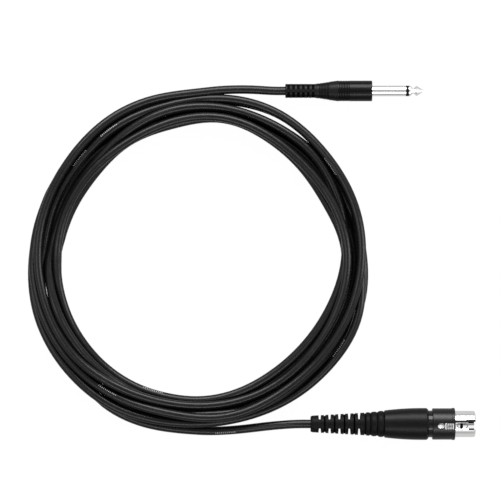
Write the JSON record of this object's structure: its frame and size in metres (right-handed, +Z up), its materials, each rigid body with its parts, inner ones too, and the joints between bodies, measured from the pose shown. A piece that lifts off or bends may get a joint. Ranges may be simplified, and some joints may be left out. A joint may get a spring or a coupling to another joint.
{
  "type": "coiled microphone cable",
  "caption": "Black microphone cable wound in a round coil, with a latching three-contact socket connector on one end and a quarter-inch phone plug on the other.",
  "frame": {"origin": "on the surface that the cable lies on, at the middle of the box of the two connectors", "axes": "+X out of both connectors' fronts, +Y from the socket connector towards the phone plug, +Z up from the surface"},
  "size_m": [0.2683, 0.2156, 0.0193],
  "materials": {
    "nickel": "bright nickel plate",
    "black_coat": "satin black coat, fine texture",
    "carrier_plastic": "moulded, smooth matt",
    "contact_plate": "gold-coloured plate",
    "steel": "drawn, bright",
    "grip_plastic": "fine moulded texture",
    "boot_rubber": "moulded, satin",
    "brass": "drawn, dull",
    "jacket_pvc": "extruded, satin gloss",
    "wire_skin": "extruded, smooth",
    "copper": "bare strands",
    "ring_plastic": "turned, smooth",
    "inner_plastic": "moulded, matt",
    "barrel_plastic": "fine moulded texture"
  },
  "bodies": {
    "cable": {"xlr_shell": "nickel", "xlr_collar": "black_coat", "contact_carrier": "carrier_plastic", "contact_1": "contact_plate", "contact_2": "contact_plate", "contact_3": "contact_plate", "carrier_screw": "nickel", "latch_pin": "steel", "latch_spring": "steel", "xlr_grip": "grip_plastic", "xlr_boot": "boot_rubber", "cord_ferrule": "brass", "xlr_cord_end": "jacket_pvc", "xlr_signal_wire": "wire_skin", "xlr_shield_wire": "copper", "contact_jumper": "copper", "plug_tip": "nickel", "tip_insulator": "ring_plastic", "plug_sleeve": "nickel", "core_insulator": "inner_plastic", "rear_insulator": "inner_plastic", "tip_lug": "nickel", "ground_lug": "nickel", "plug_barrel": "barrel_plastic", "plug_boot": "boot_rubber", "plug_cord_end": "jacket_pvc", "plug_signal_wire": "wire_skin", "plug_shield_wire": "copper", "cord_coil": "jacket_pvc", "cord_tail_plug": "jacket_pvc", "cord_tail_xlr": "jacket_pvc"},
    "latch_lever": {"latch": "nickel"}
  },
  "joints": [
    {"name": "latch_press", "type": "hinge", "parent": "cable", "child": "latch_lever", "pos_m": [0.0392, -0.09908, 0.018], "axis": [0, 0.9945, 0.1045], "range_deg": [0, 5.5], "stiffness_Nm_per_rad": 0.04, "springref_deg": -5.73, "deforming": ["latch_spring"]}
  ]
}
